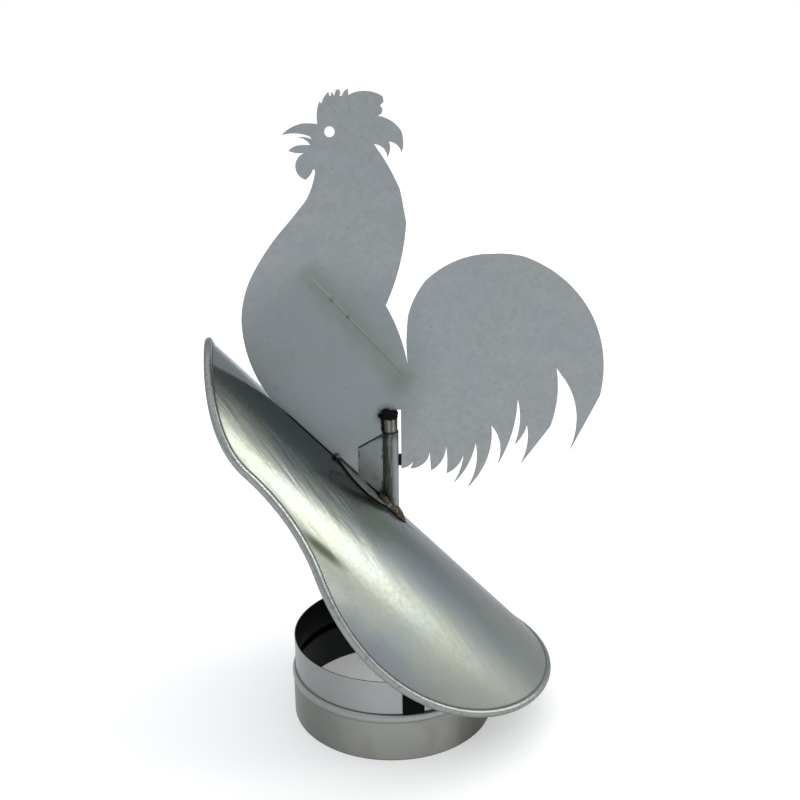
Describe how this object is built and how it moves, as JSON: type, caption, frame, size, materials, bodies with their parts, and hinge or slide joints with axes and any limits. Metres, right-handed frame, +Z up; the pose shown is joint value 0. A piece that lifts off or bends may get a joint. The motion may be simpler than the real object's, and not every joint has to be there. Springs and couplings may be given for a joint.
{
  "type": "chimney cowl",
  "caption": "Turning chimney cowl: a bent sheet hood with a rolled edge and a weathercock vane, on a pointed rod over a round flue collar.",
  "frame": {"origin": "centre of the collar's lower edge, on the upright rod's axis", "axes": "+Z up along the rod, -X towards the weathercock's head and the hood's raised end, +X down towards the tail"},
  "size_m": [0.2766, 0.244, 0.4485],
  "materials": {
    "hood_sheet": "satin",
    "collar_sheet": "satin",
    "vane_sheet": "matt",
    "wrap_sheet": "matt",
    "tube_steel": "heat stained",
    "zinc_steel": "plated",
    "black_bar": "black paint",
    "weld_metal": "rough weld",
    "burnt_weld": "burnt weld"
  },
  "bodies": {
    "base": {"collar": "collar_sheet", "cross_bar": "black_bar", "bar_rivets": "zinc_steel", "pivot_rod": "zinc_steel", "rod_nuts": "zinc_steel", "rod_washers": "zinc_steel"},
    "vane": {"hood": "hood_sheet", "rooster_plate": "vane_sheet", "sleeve_tube": "tube_steel", "sleeve_plug": "tube_steel", "sleeve_wrap": "wrap_sheet", "foot_cleat_near": "wrap_sheet", "foot_cleat_far": "wrap_sheet", "back_brace": "vane_sheet", "foot_weld": "weld_metal", "notch_weld": "burnt_weld", "tail_tack": "burnt_weld", "cleat_tacks": "weld_metal", "brace_welds": "weld_metal"}
  },
  "joints": [
    {"name": "vane_turn", "type": "hinge", "parent": "base", "child": "vane", "pos_m": [0, 0, 0.158], "axis": [0, 0, 1], "continuous": true}
  ]
}
